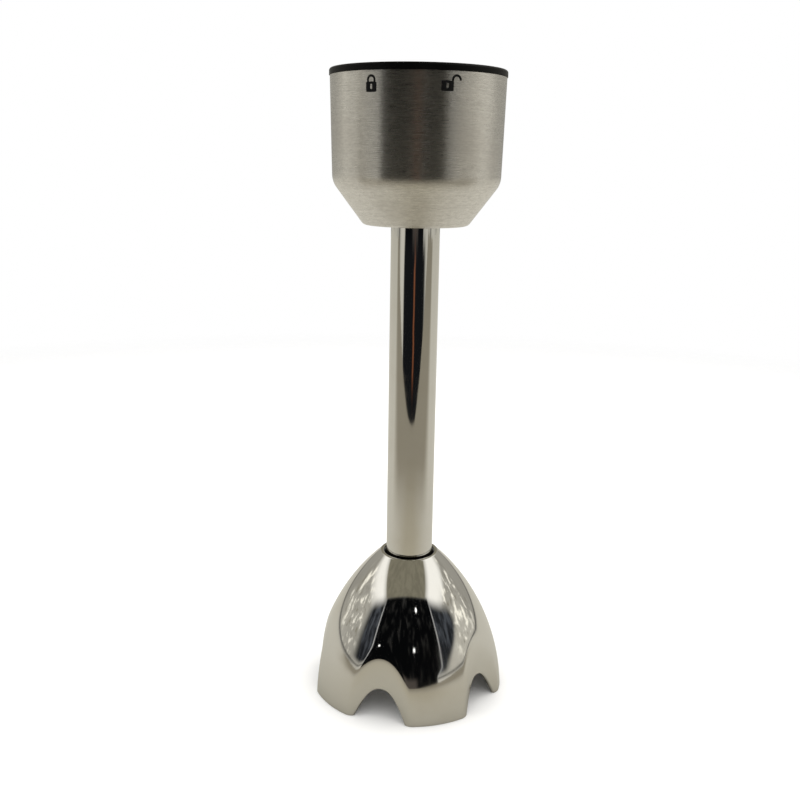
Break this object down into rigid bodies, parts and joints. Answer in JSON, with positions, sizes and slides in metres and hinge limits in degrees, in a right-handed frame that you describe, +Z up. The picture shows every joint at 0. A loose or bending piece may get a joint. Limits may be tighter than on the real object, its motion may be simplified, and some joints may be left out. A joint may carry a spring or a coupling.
{
  "type": "blending shaft attachment",
  "caption": "Detachable blending shaft of a stick blender: steel coupling cup with bayonet insert, long tube and fluted bell over a spinning blade.",
  "frame": {"origin": "on the shaft's axis, in the plane of the bell's feet", "axes": "+Z up along the shaft towards the coupling; -Y towards the front, where the lock marks are"},
  "size_m": [0.0741, 0.0758, 0.2365],
  "materials": {
    "brushed_steel": "brushed round the cup",
    "polished_steel": "mirror polished stainless steel",
    "plain_steel": "plain machined stainless steel",
    "blade_steel": "ground stainless steel",
    "bronze": "sintered bronze",
    "black_plastic": "fine satin moulding",
    "coupler_plastic": "glass-filled nylon",
    "white_plastic": "natural acetal",
    "black_rubber": "matt nitrile rubber"
  },
  "bodies": {
    "wand": {"coupling_cup": "brushed_steel", "coupling_insert": "black_plastic", "cup_gasket": "black_rubber", "tube_collar": "plain_steel", "collar_screws": "plain_steel", "shaft_tube": "polished_steel", "upper_bearing_holder": "white_plastic", "upper_bush": "bronze", "dust_seal": "black_rubber", "steady_ring": "white_plastic", "lower_bearing_holder": "white_plastic", "lower_bush": "bronze", "holder_oring": "black_rubber", "lip_seal": "black_rubber", "seal_spring": "plain_steel", "seal_cap": "plain_steel", "bell": "polished_steel"},
    "rotor": {"drive_shaft": "plain_steel", "thrust_washer": "plain_steel", "shaft_clip": "plain_steel", "spring_seat": "plain_steel", "coupler_spring": "plain_steel", "coupler_washer": "plain_steel", "coupler_screw": "plain_steel", "blade": "blade_steel", "blade_hub": "plain_steel", "hub_washer": "white_plastic", "blade_nut": "plain_steel"},
    "coupler": {"drive_coupler": "coupler_plastic"}
  },
  "joints": [
    {"name": "rotor_spin", "type": "hinge", "parent": "wand", "child": "rotor", "pos_m": [0, 0, 0.1], "axis": [0, 0, 1], "continuous": true},
    {"name": "coupler_slide", "type": "slide", "parent": "rotor", "child": "coupler", "axis": [0, 0, 1], "range_m": [-0.003, 0], "stiffness_N_per_m": 600, "springref_m": 0.004, "deforming": ["coupler_spring"]}
  ]
}
